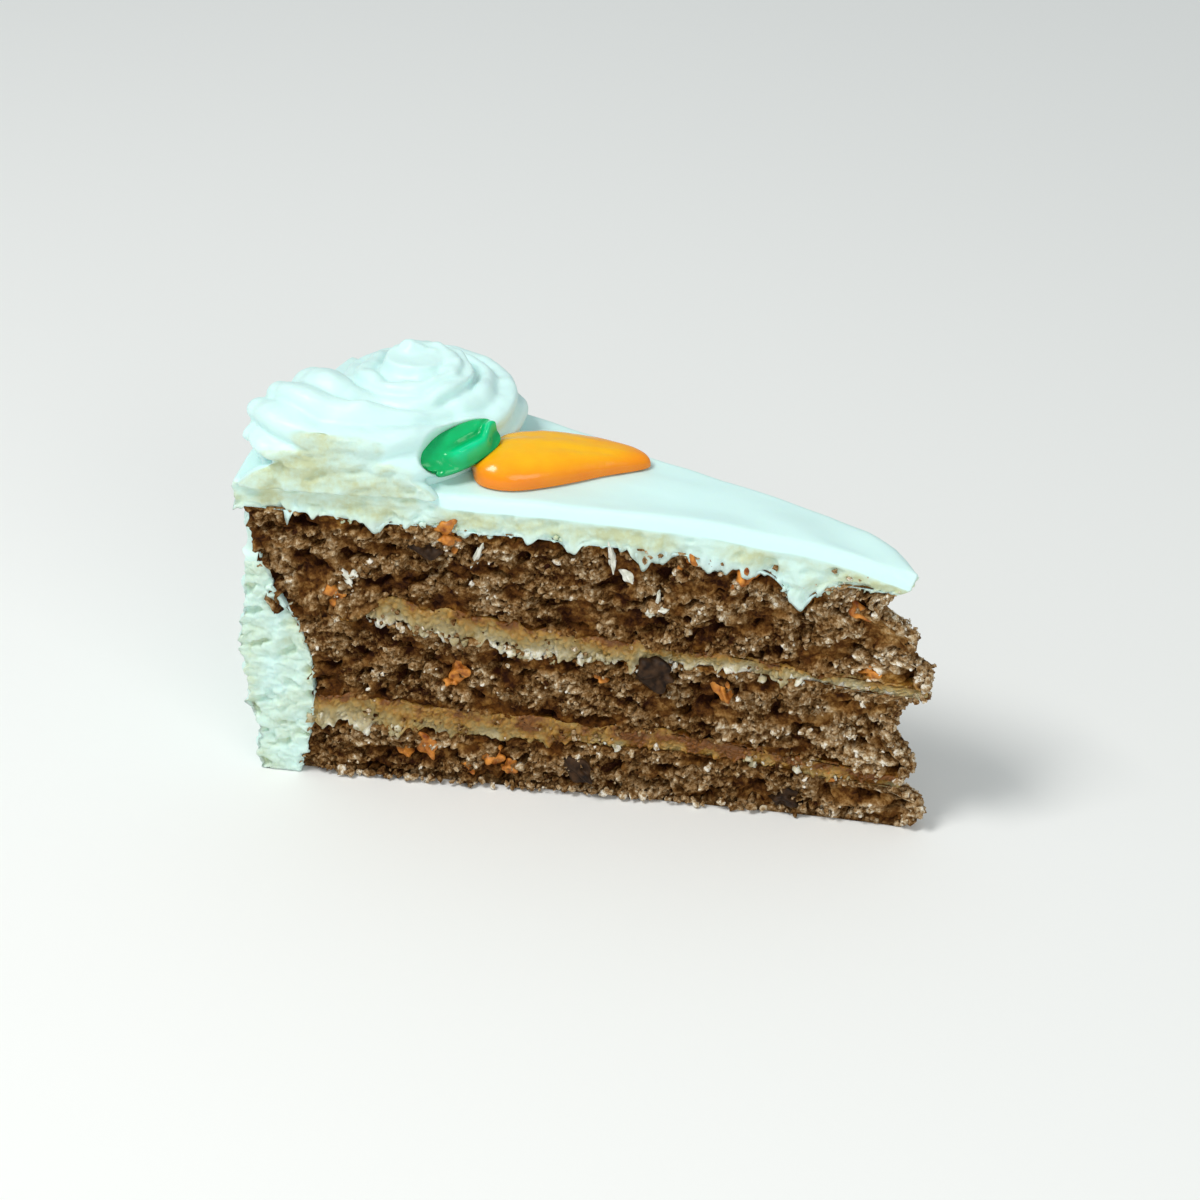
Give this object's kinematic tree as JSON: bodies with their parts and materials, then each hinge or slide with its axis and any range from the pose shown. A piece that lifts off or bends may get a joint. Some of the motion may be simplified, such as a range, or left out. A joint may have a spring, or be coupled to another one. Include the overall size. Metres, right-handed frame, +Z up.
{
  "type": "carrot cake slice",
  "caption": "Wedge of layered carrot cake with cream fillings, icing on top and rim, a piped swirl and a piped carrot: food to set on a plate or stand.",
  "frame": {"origin": "middle of the base of the bounding box, on the plane the slice stands on", "axes": "+X towards the tip of the wedge along its middle line, the rim is at -X, the cut that the picture shows faces -Y, +Z up"},
  "size_m": [0.1368, 0.0562, 0.0849],
  "materials": {
    "crumb": "matte",
    "filling": "satin",
    "icing": "satin",
    "orange_icing": "gloss",
    "green_icing": "gloss"
  },
  "bodies": {
    "root": {"cake_layer_bottom": "crumb", "filling_lower": "filling", "cake_layer_middle": "crumb", "filling_upper": "filling", "cake_layer_top": "crumb", "icing_top": "icing", "icing_side": "icing", "piped_swirl": "icing", "piped_carrot": "orange_icing", "piped_leaf": "green_icing"}
  },
  "joints": []
}
